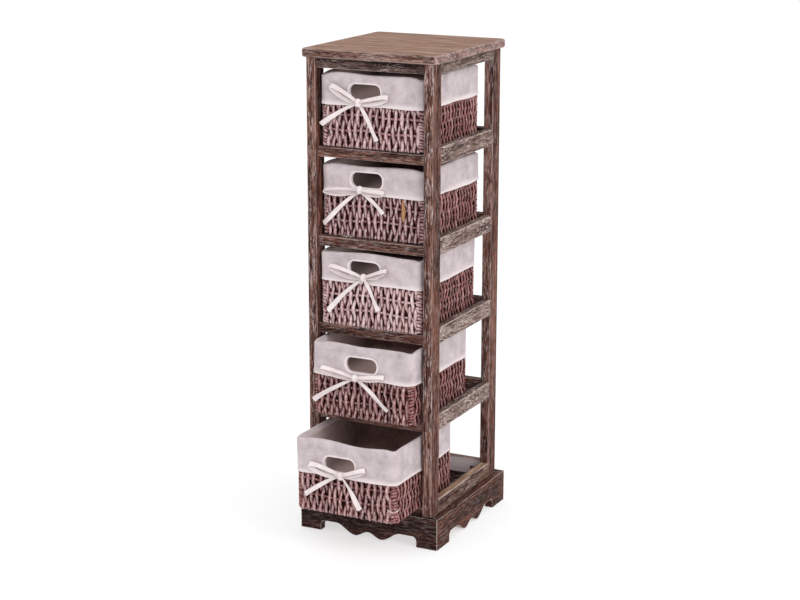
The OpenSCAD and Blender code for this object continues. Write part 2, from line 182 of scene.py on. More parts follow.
def brushed_wood(
    name, axis, pigment, crackle, tones, flank=(1.0, 1.0, 1.0), chalk=1.0, top=None, wear=0.35, inner=None
):
    """Wire-brushed timber with its grain along the axis and pale pigment left in the pores.

    The tones go from dark to light, and crackle makes the grain shorter. On faces turned to the sides,
    flank multiplies the colour and chalk the pigment. Top holds the tones of faces turned up, wear is how
    pale the edges are, and inner holds paler colours for faces turned to -Y.
    """
    dark, mid, light = tones
    s = Shader(name)
    place = s.place()
    own = s.math("MULTIPLY", s.node("ObjectInfo").outputs["Random"], GRAIN_SPREAD)
    bend = s.node("TexNoise", {"Vector": place, "Scale": 9.0, "Detail": 1.0}).outputs["Color"]
    offset = s.vector("SUBTRACT", bend, (0.5, 0.5, 0.5))
    wobble = s.node("VectorMath", {0: offset, "Scale": BEND_SIZE}, operation="SCALE").outputs[0]
    bent = s.vector("ADD", place, wobble)
    along = "XYZ".index(axis)

    def grain(across, down, detail, rough, shift):
        factors = [across] * 3
        factors[along] = down
        return s.streaks(bent, tuple(factors), detail, rough, s.math("ADD", own, shift))

    broad = grain(70.0, 3.5, 3.0, 0.5, 0.0)
    middle = grain(340.0, 17.0 + 20.0 * crackle, 4.0, 0.65, 3.0)
    fine = grain(760.0, 45.0 + 60.0 * crackle, 3.0, 0.65, 7.0)
    pores = grain(500.0, 42.0 + 70.0 * crackle, 4.0, 0.75, 11.0)
    patch = s.noise(place, 16.0, 2.0, 0.5, s.math("ADD", own, 5.0))
    tone = s.math("ADD", s.math("MULTIPLY", broad, 0.38), s.math("MULTIPLY", middle, 0.62))
    wood = s.ramp(tone, (0.41, srgb(dark)), (0.5, srgb(mid)), (0.6, srgb(light)))
    groove = s.span(fine, 0.5, 0.6, 0.0, 0.85)

    # Edges are where the rounded normal leaves the face's own, or where the face lies aslant
    normal = s.node("NewGeometry").outputs["True Normal"]
    parts = s.node("SeparateXYZ", {"Vector": s.vector("ABSOLUTE", normal)}).outputs
    rounded = s.node("Bevel", {"Radius": EDGE_R}, samples=4).outputs["Normal"]
    agree = s.node("VectorMath", {0: rounded, 1: normal}, operation="DOT_PRODUCT").outputs["Value"]
    squareness = s.math("MAXIMUM", s.math("MAXIMUM", parts[0], parts[1]), parts[2])
    edge = s.math("MAXIMUM", s.span(squareness, 0.96, 0.78), s.span(agree, 0.985, 0.86))
    if top:
        turned_up = s.span(parts[2], 0.6, 0.97)
        calm = s.ramp(tone, (0.38, srgb(top[0])), (0.5, srgb(top[1])), (0.63, srgb(top[2])))
        wood = s.mix(turned_up, wood, calm)
        quiet = s.math("SUBTRACT", 1.0, s.math("MULTIPLY", turned_up, 0.85))
        groove = s.math("MULTIPLY", groove, quiet)
        pigment = s.math("MULTIPLY", quiet, pigment)
    wood = s.mix(groove, wood, GROOVE_COLOUR)
    wood = s.mix(s.span(parts[0], 0.6, 0.95), wood, flank, "MULTIPLY")
    worn = s.math("MULTIPLY", edge, s.span(middle, 0.34, 0.52))
    speck = s.math("MULTIPLY", s.span(pores, 0.5, 0.6), s.span(patch, 0.3, 0.62, 0.25, 1.0))
    speck = s.math("MULTIPLY", speck, s.span(parts[0], 0.6, 0.95, 1.0, chalk))
    wash = s.math("MULTIPLY", speck, pigment, clamp=True)
    wood = s.mix(wash, wood, PIGMENT_COLOUR)
    wood = s.mix(s.math("MULTIPLY", worn, wear), wood, WORN_COLOUR)
    # Faces turned to -Y take paler colours
    if inner:
        signed = s.node("SeparateXYZ", {"Vector": normal}).outputs[1]
        inner_pale_tones = s.ramp(broad, (0.35, srgb(inner[0])), (0.65, srgb(inner[1])))
        wood = s.mix(s.span(signed, -0.6, -0.95, 0.0, 0.9), wood, inner_pale_tones)
    height = s.math(
        "ADD",
        s.math("MULTIPLY", middle, 0.55),
        s.math("SUBTRACT", s.math("MULTIPLY", pores, 0.4), s.math("MULTIPLY", fine, 0.35)),
    )
    s.bump(height, 0.55, 0.0012)
    return s.finish(Base_Color=wood, Roughness=s.span(tone, 0.3, 0.7, 0.8, 0.6), Specular_IOR_Level=0.12)


FIBRE_FACTORS = (1400.0, 1400.0, 130.0)
FLECK_FACTORS = (300.0, 300.0, 190.0)


def wicker_strands():
    """Dull twisted strand, with painted highlight along its crest and painted shade on its sides, down to
    near black where it lies deep behind the others.
    """
    s = Shader("wicker")
    tone = s.attribute("tone")
    painted_relief_shading = s.attribute("painted_relief_shading")
    side = s.attribute("side")
    place = s.place()
    fibre = s.streaks(place, FIBRE_FACTORS, 3.0, 0.6)
    blotch = s.noise(place, 110.0, 3.0, 0.6, 4.0)
    value = s.math("ADD", s.math("MULTIPLY", tone, 0.45), s.math("MULTIPLY", blotch, 0.55))
    front = s.ramp(value, (0.25, srgb("74484a")), (0.5, srgb("a87a7a")), (0.75, srgb("dfc2c2")))
    flank = s.ramp(value, (0.25, srgb("562723")), (0.5, srgb("8a524f")), (0.75, srgb("bf8f8c")))
    colour = s.mix(side, front, flank)
    colour = s.mix(s.span(fibre, 0.45, 0.68, 0.0, 0.45), colour, srgb("5a2f2a"))
    fleck = s.streaks(place, FLECK_FACTORS, 2.0, 0.6, 8.0)
    colour = s.mix(s.span(fleck, 0.48, 0.36, 0.0, 0.6), colour, srgb("4a1d1a"))
    # Pale flecks: partly the strand's own texture, partly painted highlight on its twist, weaker on the
    # sides
    pale_fleck_and_highlight = s.math("MULTIPLY", s.span(fleck, 0.54, 0.64, 0.0, 0.55), s.span(side, 0.3, 1.0, 1.0, 0.4))
    colour = s.mix(pale_fleck_and_highlight, colour, srgb("eddada"))
    # Painted highlight along the crest of each strand, weaker on the baskets' sides
    painted_crest_highlight = s.math("MULTIPLY", s.span(painted_relief_shading, 0.84, 1.0, 0.0, 0.4), s.span(side, 0.3, 1.0, 1.0, 0.35))
    colour = s.mix(painted_crest_highlight, colour, srgb("f0dede"))
    # Painted shade: reddish brown on the strands' sides, near black where they lie deep
    colour = s.mix(s.span(painted_relief_shading, 0.85, 0.4, 0.0, 0.72), colour, srgb("55282a"))
    colour = s.mix(s.span(painted_relief_shading, 0.45, 0.12, 0.0, 0.96), colour, srgb("1e0605"))
    s.bump(fibre, 0.5, 0.0006)
    return s.finish(Base_Color=colour, Roughness=0.72, Specular_IOR_Level=0.15)


def straw_strand():
    """A strand that missed the stain."""
    s = Shader("wicker_straw")
    fibre = s.streaks(s.place(), FIBRE_FACTORS, 3.0, 0.6)
    colour = s.ramp(fibre, (0.35, srgb("7a4a2c")), (0.65, srgb("cfa27c")))
    s.bump(fibre, 0.5, 0.0006)
    return s.finish(Base_Color=colour, Roughness=0.72, Specular_IOR_Level=0.15)


def gap_shade_sheet():
    """Near-black sheet behind the weave, seen only between the strands: painted shade in the gaps."""
    s = Shader("wicker_gap_shade")
    blotch = s.noise(s.place(), 160.0, 3.0, 0.6)
    colour = s.ramp(blotch, (0.3, srgb("120504")), (0.7, srgb("2b110e")))
    s.bump(blotch, 0.4, 0.0008)
    return s.finish(Base_Color=colour, Roughness=0.85, Specular_IOR_Level=0.15)


THREAD_LENGTH_FACTOR = 60.0


def linen(name, pale, shade, near=None, threads=1500.0, through=0.0):
    """Plain woven cloth with uneven threads.

    Near is its colour where the tone is high. Through is the strength of a painted glow that it gives off
    there.
    """
    s = Shader(name)
    place = s.place()
    upright = s.streaks(place, (threads, threads, THREAD_LENGTH_FACTOR), 2.0, 0.5)
    crosswise = s.streaks(place, (THREAD_LENGTH_FACTOR, THREAD_LENGTH_FACTOR, threads), 2.0, 0.5, 3.0)
    cloud = s.noise(place, 45.0, 3.0, 0.55, 6.0)
    weave = s.math("ADD", s.math("MULTIPLY", upright, 0.5), s.math("MULTIPLY", crosswise, 0.5))
    value = s.math("ADD", s.math("MULTIPLY", weave, 0.5), s.math("MULTIPLY", cloud, 0.5))
    colour = s.ramp(value, (0.36, srgb(shade)), (0.6, srgb(pale)))
    if near:
        tone = s.attribute("tone")
        colour = s.mix(tone, colour, srgb(near))
        if through:
            s.finish(Emission_Color=s.mix(tone, (0, 0, 0), srgb(near)), Emission_Strength=through)
    s.bump(weave, 0.3, 0.0004)
    return s.finish(Base_Color=colour, Roughness=0.9, Specular_IOR_Level=0.15, Sheen_Weight=0.1)


def black_steel():
    """Scuffed black plate of the corner brackets."""
    s = Shader("bracket_steel")
    scuff = s.noise(s.place(), 300.0, 4.0, 0.65)
    colour = s.ramp(scuff, (0.4, srgb("191615")), (0.7, srgb("3a3431")))
    s.bump(scuff, 0.2, 0.0003)
    return s.finish(Base_Color=colour, Metallic=0.8, Roughness=s.span(scuff, 0.3, 0.7, 0.3, 0.55))


def studio_floor():
    """Pale floor that stands for the photograph's cut-out ground."""
    s = Shader("floor")
    cloud = s.noise(s.place(), 2.0, 2.0, 0.5)
    colour = s.ramp(cloud, (0.3, (0.43, 0.43, 0.43)), (0.7, (0.47, 0.47, 0.47)))
    return s.finish(
        Base_Color=colour,
        Roughness=0.9,
        Specular_IOR_Level=0.1,
        Emission_Color=(1.0, 1.0, 1.0),
        Emission_Strength=0.58,
    )


# Wood on the frame's own pieces
WOODS = {
    ("post", "Z"): brushed_wood(
        "wood_post", "Z", 0.66, 0.2, ("240b05", "613a2e", "9b7467"),
        flank=(0.7, 0.52, 0.42), chalk=0.45, wear=0.2,
    ),
    ("rail", "X"): brushed_wood("wood_rail_x", "X", 0.4, 0.3, ("210a05", "5a3529", "906659")),
    ("rail", "Y"): brushed_wood("wood_rail_y", "Y", 0.8, 0.8, ("33201a", "6c5349", "9f8c84"), wear=0.6),
    ("low_rail", "X"): brushed_wood(
        "wood_low_rail_x", "X", 0.5, 0.3, ("1f0a06", "5a3a30", "98776d"),
        inner=("aa9b9d", "c4b8ba"),
    ),
    ("low_rail", "Y"): brushed_wood(
        "wood_low_rail_y", "Y", 0.55, 0.2, ("240e08", "5e4032", "8f705f"),
        top=("6a4937", "a0806a", "cfb09c"), wear=0.7,
    ),
    # Top rails: tones darkened as painted shade under the top panel
    ("top_rail", "X"): brushed_wood("wood_top_rail_x", "X", 0.36, 0.6, ("110604", "38241f", "69534c")),
    ("top_rail", "Y"): brushed_wood("wood_top_rail_y", "Y", 0.35, 0.9, ("2a1914", "57443c", "85736a")),
    # Plinth: dark tones partly its own dark stain, partly painted shade under the lowest basket
    ("plinth", "X"): brushed_wood(
        "wood_plinth_x", "X", 0.14, 0.4, ("0a0201", "240d08", "49291f"), wear=0.95,
    ),
    ("plinth", "Y"): brushed_wood(
        "wood_plinth_y", "Y", 0.18, 0.3, ("1a0803", "421f14", "6a402e"), wear=0.9,
    ),
    ("panel", "X"): brushed_wood(
        "wood_panel", "X", 0.5, 0.35, ("260f0a", "5f3f34", "9a796e"),
        flank=(1.5, 1.6, 1.7), chalk=1.9, top=("6f4f3e", "8e6d5b", "ae907e"),
    ),
    ("runner", "Y"): brushed_wood("wood_runner", "Y", 0.5, 0.3, ("3a1f19", "6d4c42", "a08076")),
    ("dowel", "X"): brushed_wood("wood_dowel", "X", 0.0, 0.0, ("a98457", "c9a878", "dcc197"), wear=0.0),
}
STEEL = black_steel()
LOW_RAILS = ("tier_5_rail_back", "tier_5_rail_left", "tier_5_rail_right")


def finish_of(node_name):
    """Material of a piece of the frame, or None for the pieces that are replaced further down."""
    axis = "X" if node_name.endswith(("_front", "_back")) else "Y"
    if node_name == "top_panel":
        return WOODS["panel", "X"]
    if node_name.startswith("post_"):
        return WOODS["post", "Z"]
    if node_name == "rail_dowels":
        return WOODS["dowel", "X"]
    if node_name == "corner_brackets":
        return STEEL
    if node_name.startswith("plinth_"):
        return WOODS["plinth", axis]
    if node_name.endswith("_runners"):
        return WOODS["runner", "Y"]
    if node_name.startswith("top_rail_"):
        return WOODS["top_rail", axis]
    if node_name in LOW_RAILS:
        return WOODS["low_rail", axis]
    if "_rail_" in node_name:
        return WOODS["rail", axis]
    return None


for node_name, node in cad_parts.items():
    finish = finish_of(node_name)
    if finish:
        node.data.materials.clear()
        node.data.materials.append(finish)


# Mesh helpers
TUBE_SIDES = 8


class Soup:
    """Gathers the points, faces, material numbers and values of one piece."""

    def __init__(self):
        self.points = []
        self.faces = []
        self.finishes = []
        self.values = []
        self.count = 0

    def grid(self, points, closed=False, keep=None, material=0, values=(0.5, 1.0, 0.0), caps=False):
        """Adds a sheet of rows by columns.

        Closed joins the last column to the first, keep says which cells stay, and caps closes the first and
        the last row. The values are the tone, the painted shade and highlight of the relief, and the side
        that the shaders read.
        """
        rows, cols = points.shape[:2]
        number = np.arange(rows * cols).reshape(rows, cols) + self.count
        after = np.roll(number, -1, axis=1)
        last = cols if closed else cols - 1
        quads = np.stack([number[:-1], after[:-1], after[1:], number[1:]], axis=-1)[:, :last]
        finish = np.broadcast_to(material, (rows - 1, cols))[:, :last]
        if keep is not None:
            quads = quads[keep[:, :last]]
            finish = finish[keep[:, :last]]
        self.faces += quads.reshape(-1, 4).tolist()
        self.finishes += finish.reshape(-1).tolist()
        if caps:
            self.faces += [number[0, ::-1].tolist(), number[-1].tolist()]
            self.finishes += [0, 0]
        self.points.append(points.reshape(-1, 3))
        spread = np.empty((rows, cols, 3))
        for k in range(3):
            spread[..., k] = values[k]
        self.values.append(spread.reshape(-1, 3))
        self.count += rows * cols

    def build(self, tier, ending, materials):
        """Makes a basket's piece from millimetres, set on its seat, and lets it ride the basket's body."""
        body = "basket_%d" % tier
        name = body + "_" + ending
        mesh = bpy.data.meshes.new(name)
        points = (np.concatenate(self.points) + np.array(place_of(tier))) * MM
        mesh.from_pydata(points.tolist(), [], self.faces)
        for material in materials:
            mesh.materials.append(material)
        mesh.polygons.foreach_set("material_index", self.finishes)
        mesh.polygons.foreach_set("use_smooth", [True] * len(self.faces))
        spread = np.concatenate(self.values)
        for k, label in enumerate(("tone", "painted_relief_shading", "side")):
            layer = mesh.attributes.new(label, "FLOAT", "POINT")
            layer.data.foreach_set("value", spread[:, k].astype(np.float32))
        mesh.update()
        piece = bpy.data.objects.new(name, mesh)
        bpy.context.scene.collection.objects.link(piece)
        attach(piece, body)
        return piece


def soften(piece):
    """Rounds a cloth piece by one step of subdivision."""
    smooth = piece.modifiers.new("smooth", "SUBSURF")
    smooth.levels = 1
    smooth.render_levels = 1


def ripple(seed, count, shortest, longest, *coords):
    """Smooth random waves over the coordinates, mostly between -1 and 1."""
    rng = np.random.default_rng(seed)
    total = 0.0
    for _ in range(count):
        direction = rng.normal(size=len(coords))
        direction /= np.linalg.norm(direction)
        run = sum(d * c for d, c in zip(direction, coords))
        total = total + np.sin(TAU / rng.uniform(shortest, longest) * run + rng.uniform(0, TAU))
    return total / math.sqrt(count)


def tube(path, width_way, depth_way, half_w, half_d, twist=0.0):
    """Rows of points round a path, flattened along the two ways given at each point."""
    rows = len(path)
    angle = np.linspace(0, TAU, TUBE_SIDES, endpoint=False)[None, :]
    half_w = np.broadcast_to(half_w, (rows,))[:, None]
    half_d = np.broadcast_to(half_d, (rows,))[:, None]
    swell = 1 + 0.10 * np.cos(2 * angle + np.reshape(twist, (-1, 1)))
    a = (half_w * np.cos(angle) * swell)[..., None]
    b = (half_d * np.sin(angle) * swell)[..., None]
    return path[:, None, :] + a * width_way[:, None, :] + b * depth_way[:, None, :]


# Basket sizes in millimetres, as in the part's source
BASKET_W = 204.0
BASKET_D = 238.0
BASKET_H = 134.0
CORNER_R = 14.0
SKIRT_H = {1: 57.0, 2: 54.0, 3: 52.0, 4: 58.0, 5: 61.0}
SLOT_DROP = {1: 18.0, 2: 13.0, 3: 10.0, 4: 17.0, 5: 24.0}
SLOT_X = {1: -14.0, 2: -13.0, 3: -12.0, 4: -2.0, 5: -12.0}
SLOT_HALF_W = 31.0
SLOT_HALF_H = 14.0
SLOT_R = 12.0
SPLIT_HALF = 2.5
HOME_Y = 1.8
OUT = {1: 16.0, 2: 12.0, 3: 24.0, 4: 57.0, 5: 124.0}
LOW_SEAT = 72.0
TIER_PITCH = 163.0
FIT_GAP = 0.3
SEAT = {tier: LOW_SEAT + (len(TIERS) - tier) * TIER_PITCH + FIT_GAP for tier in TIERS}
HEM_Z = {tier: BASKET_H - SKIRT_H[tier] for tier in TIERS}
SLOT_Z = {tier: BASKET_H - SLOT_DROP[tier] - SLOT_HALF_H for tier in TIERS}
SIDE_A = BASKET_W - 2 * CORNER_R
SIDE_B = BASKET_D - 2 * CORNER_R
QUARTER = TAU * CORNER_R / 4
OUTLINE = 2 * (SIDE_A + SIDE_B + 2 * QUARTER)
CORNER_STARTS = (SIDE_A, SIDE_A + QUARTER + SIDE_B, 2 * SIDE_A + 2 * QUARTER + SIDE_B, OUTLINE - QUARTER)
RIGHT_CORNER = SIDE_A + QUARTER / 2
LEFT_CORNER = OUTLINE - QUARTER / 2
TOLERANCE = 0.01


def place_of(tier):
    """A basket's own origin, under its middle, in millimetres."""
    return (0.0, HOME_Y - OUT[tier], SEAT[tier])


def outline(s):
    """Points and outward ways at distances along a basket's outline, from the front's left end.

    The second half, along the back and the left side, is the first half turned round.
    """
    s = np.mod(np.asarray(s, float), OUTLINE)
    half = OUTLINE / 2
    flip = np.where(s < half, 1.0, -1.0)
    t = np.where(s < half, s, s - half)
    on_front = t < SIDE_A
    to_corner = t < SIDE_A + QUARTER
    to_side = t < SIDE_A + QUARTER + SIDE_B
    angle = np.select(
        [on_front, to_corner, to_side],
        [-TAU / 4, -TAU / 4 + (t - SIDE_A) / CORNER_R, 0.0],
        (t - SIDE_A - QUARTER - SIDE_B) / CORNER_R,
    )
    x = np.where(on_front, t - SIDE_A / 2, SIDE_A / 2 + CORNER_R * np.cos(angle))
    y = np.select(
        [to_corner, to_side],
        [-SIDE_B / 2 + CORNER_R * np.sin(angle), -SIDE_B / 2 + t - SIDE_A - QUARTER],
        SIDE_B / 2 + CORNER_R * np.sin(angle),
    )
    spot = np.stack([flip * x, flip * y], -1)
    way = np.stack([flip * np.cos(angle), flip * np.sin(angle)], -1)
    return spot, way


def on_outline(s, off, z):
    """Points at distances along the outline, set out by off, at height z."""
    spot, way = outline(s)
    flat = spot + np.asarray(off)[..., None] * way
    return np.concatenate([flat, np.broadcast_to(z, flat.shape[:-1])[..., None]], -1)


def ways(s):
    """Sideways, outward and upward ways at distances along the outline."""
    way = outline(s)[1]
    level = np.zeros(len(way))
    side_way = np.stack([-way[:, 1], way[:, 0], level], -1)
    out_way = np.stack([way[:, 0], way[:, 1], level], -1)
    up_way = np.tile([0.0, 0.0, 1.0], (len(way), 1))
    return side_way, out_way, up_way


# Ribbon bows, in millimetres across the front and above the basket's bottom
BOWS = {
    1: {
        "knot": (-25, 83), "left": (-80, 111), "right": (34, 96),
        "tail_left": (-101, 39), "tail_right": (11, 17),
    },
    2: {
        "knot": (-25, 89), "left": (-97, 83), "right": (24, 87),
        "tail_left": (-101, 21), "tail_right": (21, 49),
    },
    3: {
        "knot": (-12, 95), "left": (-81, 111), "right": (35, 113),
        "tail_left": (-88, 25), "tail_right": (17, 36),
    },
    4: {
        "knot": (-13, 79.5), "left": (-82, 91), "right": (46, 88),
        "tail_left": (-101, 26), "tail_right": (52, 24),
    },
    5: {
        "knot": (-8, 78), "left": (-71, 91), "right": (42, 96),
        "tail_left": (-81, 31), "tail_right": (31, 18),
    },
}

# Woven baskets, with offsets from the outline, outwards, and how far they reach under the skirt
INNER_FINISH = 1
STRAW_FINISH = 2
# Painted shade round a tube's section: full at its face, darker at its sides and back
TUBE_SHADE = np.array([0.42, 0.86, 1.0, 0.86, 0.42, 0.3, 0.25, 0.3])
UNDER_SKIRT = 9.0
TUCKED_OFF = -3.5

# Upright strands
STRAND_PITCH = 6.2
STRAND_FOOT_Z = (1.6, 2.1, 3.0, 4.3, 6.3)
STRAND_BODY_Z = 9.0
STRAND_STEP_Z = 2.8
STRAND_HALF_W = 2.15
STRAND_SWELL_W = 1.55
STRAND_HALF_D = 1.2
STRAND_SWELL_D = 0.4
TWIST_PITCHES = (22, 36)
MIDDLE_OFF = -3.6
SWING = 2.3
CURL_Z = 6.5
CURL_DEPTH = 6.5
FOOT_TILT = np.array([1.4, 1.0, 0.6, 0.3])
STRAW_TIER = 2
STRAW_X = 56.0
STRAW_FROM = 36.0

# Hoops
HOOP_PITCH = 28.0
HOOP_LOW = 3.0
HOOP_OFF = -3.0
HOOP_HALF_W = 2.1
HOOP_HALF_D = 1.6
HOOP_POINTS = 200
# Painted shade round a hoop's section
HOOP_SHADE = np.array([0.4, 0.8, 0.86, 0.7, 0.3, 0.2, 0.2, 0.3])

# Corner wraps, and loose strands with their heights
CORNER_KEEP = 4.5
WRAP_LOW = 1.6
WRAP_STEPS = (4.2, 7.4)
WRAP_INSET = 2.6
WRAP_SLANT = 1.6
WRAP_OFF = -1.75
WRAP_HALF_D = 1.9
LOOSE_STRAND = {3: 30.0, 5: 29.0}
LOOSE_REACH = 15.0
LOOSE_SAG = 5.0
LOOSE_HALF_W = 1.4
LOOSE_HALF_D = 0.9

# Inner wall and bottom
BACK_OFF = -6.2
BACK_T = 0.5
BACK_ROWS = (0.7, 30.0, 60.0)
BOTTOM_HALF_W = 95.5
BOTTOM_HALF_D = 112.5
BOTTOM_Z = 1.5

# How far the left front corner stands out, and how much paler and redder each basket is
CORNER_PUFF = {1: 2.2, 2: 2.6, 3: 1.2, 4: 0.0, 5: 0.0}
WICKER_TONE = {1: (-0.14, 0.0), 2: (-0.5, 0.12), 3: (0.14, 0.0), 4: (-0.75, 0.64), 5: (-0.4, 0.62)}


def strand_places():
    """Distances along the outline of every strand, side by side between the corner columns."""
    places = []
    start = 0.0
    for length in (SIDE_A, SIDE_B, SIDE_A, SIDE_B):
        count = int(round((length + 2 * CORNER_KEEP) / STRAND_PITCH))
        step = (length + 2 * CORNER_KEEP) / count
        places += [start - CORNER_KEEP + (i + 0.5) * step for i in range(count)]
        start += length + QUARTER
    return places


def weave_lift(tier, *coords):
    """How far the weave wanders up and down along the outline."""
    return 1.6 * ripple(700 + tier, 2, 60, 160, *coords)


def strands(soup, tier):
    """Upright strands, which go over and under the hoops in turn and curl in at their feet."""
    rng = np.random.default_rng(100 + tier)
    z = np.concatenate([STRAND_FOOT_Z, np.arange(STRAND_BODY_Z, HEM_Z[tier] + UNDER_SKIRT, STRAND_STEP_Z)])
    foot = np.clip((STRAND_BODY_Z - z) / 6.0, 0, 1)
    curl = np.clip((CURL_Z - z) / CURL_Z, 0, 1)
    curl_in = CURL_DEPTH * (1 - np.sqrt(1 - curl ** 2 * 0.99))
    furthest = TUCKED_OFF + 8 * np.clip((HEM_Z[tier] + 3 - z) / 3.5, 0, 1)
    paler, redder = WICKER_TONE[tier]
    for i, s in enumerate(strand_places()):
        lift = weave_lift(tier, s) + rng.normal() * 0.7
        swing = np.cos(math.pi * ((z - HOOP_LOW - lift * np.clip(z / 20, 0, 1)) / HOOP_PITCH + i % 2))
        swing = swing * (1 - foot) + np.maximum(swing, 0.35) * foot
        off = MIDDLE_OFF + SWING * swing + 0.2 * rng.normal() - curl_in
        along = s + 0.95 * ripple(1000 * tier + i, 2, 22, 60, z) + rng.normal() * 0.5
        path = on_outline(along, np.minimum(off, furthest), z)
        side_way, out_way, _ = ways(along)
        side = min(1.0, abs(out_way[len(z) // 2, 0]) + redder)
        out_way[:len(FOOT_TILT), 2] = -FOOT_TILT
        out_way /= np.linalg.norm(out_way, axis=1)[:, None]
        fullness = (swing + 1) / 2
        half_w = (STRAND_HALF_W + STRAND_SWELL_W * fullness ** 0.9) * rng.uniform(0.86, 1.12)
        half_d = STRAND_HALF_D + STRAND_SWELL_D * fullness
        twist = z * TAU / rng.uniform(*TWIST_PITCHES) + rng.uniform(0, TAU)
        points = tube(path, side_way, out_way, half_w, half_d, twist)
        # Painted shade: darker where the strand lies deep behind a hoop, and on its sides
        painted_relief_shading = np.clip(0.1 + 2.4 * fullness, 0, 1)[:, None] * TUBE_SHADE[None, :]
        tone = rng.uniform(0.05, 0.95) + paler * (1 - side) - 0.1 * side
        straw = tier == STRAW_TIER and abs(s - SIDE_A / 2 - STRAW_X) < STRAND_PITCH / 2
        material = STRAW_FINISH * ((z[:-1, None] > STRAW_FROM) & straw)
        soup.grid(points, closed=True, material=material, values=(tone, painted_relief_shading, side), caps=True)


def hoops(soup, tier):
    """Two hoops round the basket, which show between the strands."""
    s = np.linspace(0, OUTLINE, HOOP_POINTS, endpoint=False)
    _, out_way, up_way = ways(s)
    paler, redder = WICKER_TONE[tier]
    side = np.minimum(np.abs(out_way[:, 0]) + redder, 1.0)[:, None]
    side = np.concatenate([side, side[:1]])
    for k in (1, 2):
        z = HOOP_LOW + 0.5 + k * HOOP_PITCH + weave_lift(tier, s, np.zeros(len(s)))
        half_w = HOOP_HALF_W + 0.35 * ripple(740 + 9 * tier + k, 5, 7, 19, s)
        points = tube(on_outline(s, HOOP_OFF, z), up_way, out_way, half_w, HOOP_HALF_D)
        points = np.concatenate([points, points[:1]])
        soup.grid(points, closed=True, values=(0.62 + paler, HOOP_SHADE[None, :], side))


def corner_columns(soup, tier):
    """Short strands wrapped round each corner, one above the other."""
    rng = np.random.default_rng(200 + tier)
    paler, redder = WICKER_TONE[tier]
    for start in CORNER_STARTS:
        z = WRAP_LOW
        slant = rng.choice((-WRAP_SLANT, WRAP_SLANT))
        while z < HEM_Z[tier] + UNDER_SKIRT - 4:
            step = rng.uniform(*WRAP_STEPS)
            reach = rng.uniform(-1.0, 2.0, 2)
            s = np.linspace(start + WRAP_INSET - reach[0], start + QUARTER - WRAP_INSET + reach[1], 11)
            t = np.linspace(-1, 1, len(s))
            off = WRAP_OFF + rng.uniform(-0.3, 0.3) - 4.0 * np.abs(t) ** 4
            if z + step > HEM_Z[tier] + 2:
                off = np.minimum(off, TUCKED_OFF)
            elif start == CORNER_STARTS[-1]:
                off += CORNER_PUFF[tier]
            height = z + step / 2 + (slant + rng.uniform(-1.0, 1.0)) * t + 0.9 * (1 - t ** 2)
            height = np.maximum(height, 0.5 * step + 0.4)
            path = on_outline(s, off, height)
            _, out_way, up_way = ways(s)
            points = tube(path, up_way, out_way, step * (0.46 - 0.14 * t ** 4), WRAP_HALF_D, t * 3)
            # Painted shade: darker towards the tucked ends of each wrap, and on its sides
            painted_relief_shading = (0.98 - 0.55 * t ** 4)[:, None] * TUBE_SHADE[None, :]
            side = np.minimum(np.abs(out_way[:, 0]) ** 2 + redder, 1.0)[:, None]
            tone = rng.uniform(0.4, 1.0) + paler / 2
            soup.grid(points, closed=True, values=(tone, painted_relief_shading, side), caps=True)
            z += step


def loose_strand(soup, height):
    """One thin strand that sags across the front right corner."""
    t = np.linspace(-1, 1, 15)
    s = RIGHT_CORNER - 1.0 + LOOSE_REACH * t
    path = on_outline(s, 0.3 - 2.2 * t ** 4, height - LOOSE_SAG * (1 - t ** 2) + 1.5 * t)
    _, out_way, up_way = ways(s)
    points = tube(path, up_way, out_way, LOOSE_HALF_W, LOOSE_HALF_D)
    soup.grid(points, closed=True, values=(0.85, 0.86, 0.0), caps=True)


def slot_cells(s, z, tier):
    """Which cells of a grid over the outline lie inside the hand slot."""
    x = (s[:-1] + s[1:]) / 2 - SIDE_A / 2 - SLOT_X[tier]
    mid = (z[:-1] + z[1:]) / 2
    inside_x = np.abs(x) < SLOT_HALF_W
    inside_z = np.abs(mid - SLOT_Z[tier]) < SLOT_HALF_H
    return inside_z[:, None] & np.append(inside_x, False)[None, :]


def slot_snap(points, front, tier):
    """Moves points of the hand slot's box onto its rounded edge."""
    dx = points[:, 0] - SLOT_X[tier]
    dz = points[:, 2] - SLOT_Z[tier]
    on_box = front & (np.abs(dx) <= SLOT_HALF_W + TOLERANCE) & (np.abs(dz) <= SLOT_HALF_H + TOLERANCE)
    cx = np.clip(dx, SLOT_R - SLOT_HALF_W, SLOT_HALF_W - SLOT_R)
    cz = np.clip(dz, SLOT_R - SLOT_HALF_H, SLOT_HALF_H - SLOT_R)
    away = np.stack([dx - cx, dz - cz])
    size = np.maximum(np.linalg.norm(away, axis=0), 1e-6)
    shrink = np.where(on_box & (size > SLOT_R), SLOT_R / size, 1.0)
    points[:, 0] = SLOT_X[tier] + cx + away[0] * shrink
    points[:, 2] = SLOT_Z[tier] + cz + away[1] * shrink


COLUMN_W = 4.2
SLOT_ROWS = 8
CORNER_COLUMNS = (QUARTER, 8)
SIDE_COLUMNS = (SIDE_B, 44)
BACK_COLUMNS = (SIDE_A, 36)


